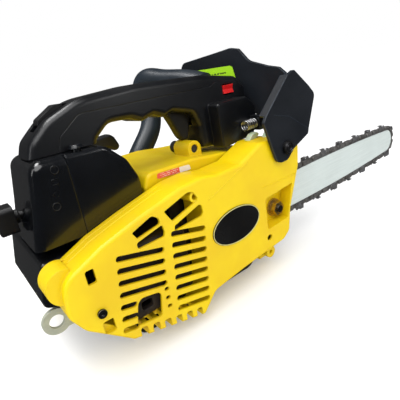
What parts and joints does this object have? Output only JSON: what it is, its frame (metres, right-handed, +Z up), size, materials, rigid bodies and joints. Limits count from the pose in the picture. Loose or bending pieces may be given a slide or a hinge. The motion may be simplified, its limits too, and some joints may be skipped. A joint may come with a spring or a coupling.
{
  "type": "chainsaw",
  "caption": "Top-handle petrol chainsaw with a short carving bar, grille clutch cover, rear tank, looped front handle and hand guard.",
  "frame": {"origin": "on the flat base of the engine housing, below the middle of the body", "axes": "+X forward along the guide bar, +Y to the operator's left, +Z up from the resting plane"},
  "size_m": [0.5531, 0.1926, 0.2305],
  "materials": {
    "cast_light": "as cast",
    "steel_dark": "dark machined steel",
    "steel_bright": "ground",
    "rubber_black": "matt",
    "plastic_black": "fine grain",
    "plastic_satin_black": "satin moulded",
    "plastic_gloss_black": "gloss moulded",
    "ceramic_white": "glazed",
    "muffler_black": "heat-resistant black",
    "bar_steel": "satin",
    "chain_steel": "oiled",
    "cutter_steel": "ground and oiled",
    "nut_bronze": "yellow zinc",
    "housing_grey": "fine grain",
    "plastic_yellow": "satin gloss moulded",
    "badge_black": "gloss with pale edge",
    "rope_white": "braided",
    "filter_felt": "felt",
    "zinc_steel": "zinc plated",
    "plastic_red": "gloss moulded",
    "tube_black": "satin coating",
    "guard_black": "fine grain",
    "screw_steel": "black zinc"
  },
  "bodies": {
    "machine": {"crankcase": "cast_light", "cylinder_barrel": "cast_light", "piston": "cast_light", "piston_rings": "steel_dark", "connecting_rod": "steel_dark", "engine_pins": "steel_bright", "shaft_bearings": "steel_bright", "seals": "rubber_black", "ignition_coil": "plastic_black", "spark_plug": "ceramic_white", "plug_lead": "rubber_black", "muffler": "muffler_black", "clutch_drum": "steel_dark", "oil_pump": "cast_light", "chain_drive_links": "chain_steel", "chain_tie_straps": "chain_steel", "chain_cutters": "cutter_steel", "chain_rivets": "chain_steel", "engine_housing": "housing_grey", "clutch_cover": "plastic_yellow", "cover_badge": "badge_black", "chain_catcher": "plastic_yellow", "starter_cover": "plastic_yellow", "recoil_spring": "steel_dark", "top_shroud": "plastic_yellow", "mount_buffer": "rubber_black", "fuel_tank": "plastic_gloss_black", "intake_housing": "plastic_gloss_black", "air_filter": "filter_felt", "carburettor": "cast_light", "intake_boot": "rubber_black", "lanyard_eye": "zinc_steel", "handle_upper": "plastic_satin_black", "handle_lower": "plastic_satin_black", "front_handle": "tube_black", "pins_and_screws": "screw_steel", "isolation_spring": "steel_bright"},
    "crank": {"crankshaft": "steel_bright", "flywheel": "cast_light", "clutch_hub": "steel_dark", "clutch_shoes": "steel_dark", "clutch_spring": "steel_bright"},
    "trigger": {"throttle_trigger": "plastic_black"},
    "lockout": {"throttle_lockout": "plastic_black"},
    "rod": {"throttle_rod": "steel_bright"},
    "rocker": {"switch_rocker": "plastic_red"},
    "guard": {"hand_guard": "guard_black"},
    "grip": {"starter_grip": "plastic_black", "starter_rope": "rope_white"},
    "reel": {"starter_reel": "plastic_black"},
    "filter_cover": {"air_filter_cover": "plastic_gloss_black"},
    "knob": {"cover_knob": "plastic_black"},
    "choke": {"choke_lever": "plastic_black"},
    "primer": {"primer_button": "plastic_gloss_black"},
    "fuel_cap_body": {"fuel_cap": "plastic_black"},
    "oil_cap_body": {"oil_cap": "plastic_black"},
    "bar": {"guide_bar": "bar_steel", "tension_block": "steel_dark"},
    "tension": {"tension_screw": "steel_dark"},
    "nut": {"bar_nut": "nut_bronze"}
  },
  "joints": [
    {"name": "crankshaft_spin", "type": "hinge", "parent": "machine", "child": "crank", "pos_m": [0.036, 0, 0.0685], "axis": [0, 1, 0], "continuous": true},
    {"name": "throttle_trigger_pull", "type": "hinge", "parent": "machine", "child": "trigger", "pos_m": [0.047, -0.012, 0.187], "axis": [0, 1, 0], "range_deg": [0, 16], "stiffness_Nm_per_rad": 0.12, "springref_deg": -14.32},
    {"name": "throttle_rod_slide", "type": "slide", "parent": "machine", "child": "rod", "axis": [-1, 0, 0], "range_m": [0, 0.003]},
    {"name": "lockout_press", "type": "hinge", "parent": "machine", "child": "lockout", "pos_m": [-0.067, -0.012, 0.204], "axis": [0, -1, 0], "range_deg": [0, 5], "stiffness_Nm_per_rad": 0.3, "springref_deg": -8.59},
    {"name": "switch_rock", "type": "hinge", "parent": "machine", "child": "rocker", "pos_m": [0.0905, -0.026, 0.1927], "axis": [1, 0, 0], "range_deg": [0, 10]},
    {"name": "guard_swing", "type": "hinge", "parent": "machine", "child": "guard", "pos_m": [0.111, 0, 0.132], "axis": [0, 1, 0], "range_deg": [0, 22]},
    {"name": "starter_pull", "type": "slide", "parent": "machine", "child": "grip", "axis": [0, 0, 1], "range_m": [0, 0.5]},
    {"name": "starter_reel_spin", "type": "hinge", "parent": "machine", "child": "reel", "pos_m": [0.036, 0.07, 0.0685], "axis": [0, 1, 0], "range_deg": [0, 1440]},
    {"name": "filter_cover_pull", "type": "slide", "parent": "machine", "child": "filter_cover", "axis": [-1, 0, 0], "range_m": [0, 0.06]},
    {"name": "cover_knob_turn", "type": "hinge", "parent": "filter_cover", "child": "knob", "pos_m": [-0.12, 0, 0.131], "axis": [1, 0, 0], "continuous": true},
    {"name": "choke_turn", "type": "hinge", "parent": "machine", "child": "choke", "pos_m": [-0.07, 0.02, 0.141], "axis": [0, 1, 0], "range_deg": [0, 60]},
    {"name": "primer_press", "type": "slide", "parent": "machine", "child": "primer", "axis": [0, 0, -1], "range_m": [0, 0.002], "stiffness_N_per_m": 600},
    {"name": "fuel_cap_turn", "type": "hinge", "parent": "machine", "child": "fuel_cap_body", "pos_m": [-0.105, 0.038, 0.112], "axis": [0, 0, 1], "continuous": true},
    {"name": "oil_cap_turn", "type": "hinge", "parent": "machine", "child": "oil_cap_body", "pos_m": [0.11, 0.062, 0.062], "axis": [0, 1, 0], "continuous": true},
    {"name": "bar_tension_slide", "type": "slide", "parent": "machine", "child": "bar", "axis": [1, 0, 0], "range_m": [-0.003, 0]},
    {"name": "tension_screw_turn", "type": "hinge", "parent": "machine", "child": "tension", "pos_m": [0.09, -0.0386, 0.059], "axis": [1, 0, 0], "range_deg": [-1543, 0]},
    {"name": "bar_nut_turn", "type": "hinge", "parent": "machine", "child": "nut", "pos_m": [0.104, -0.066, 0.0685], "axis": [0, -1, 0], "continuous": true}
  ],
  "couplings": [
    {"joint": "throttle_rod_slide", "follows": "throttle_trigger_pull", "m_per_rad": 0.009},
    {"joint": "starter_reel_spin", "follows": "starter_pull", "rad_per_m": 50},
    {"joint": "tension_screw_turn", "follows": "bar_tension_slide", "rad_per_m": 8976}
  ]
}
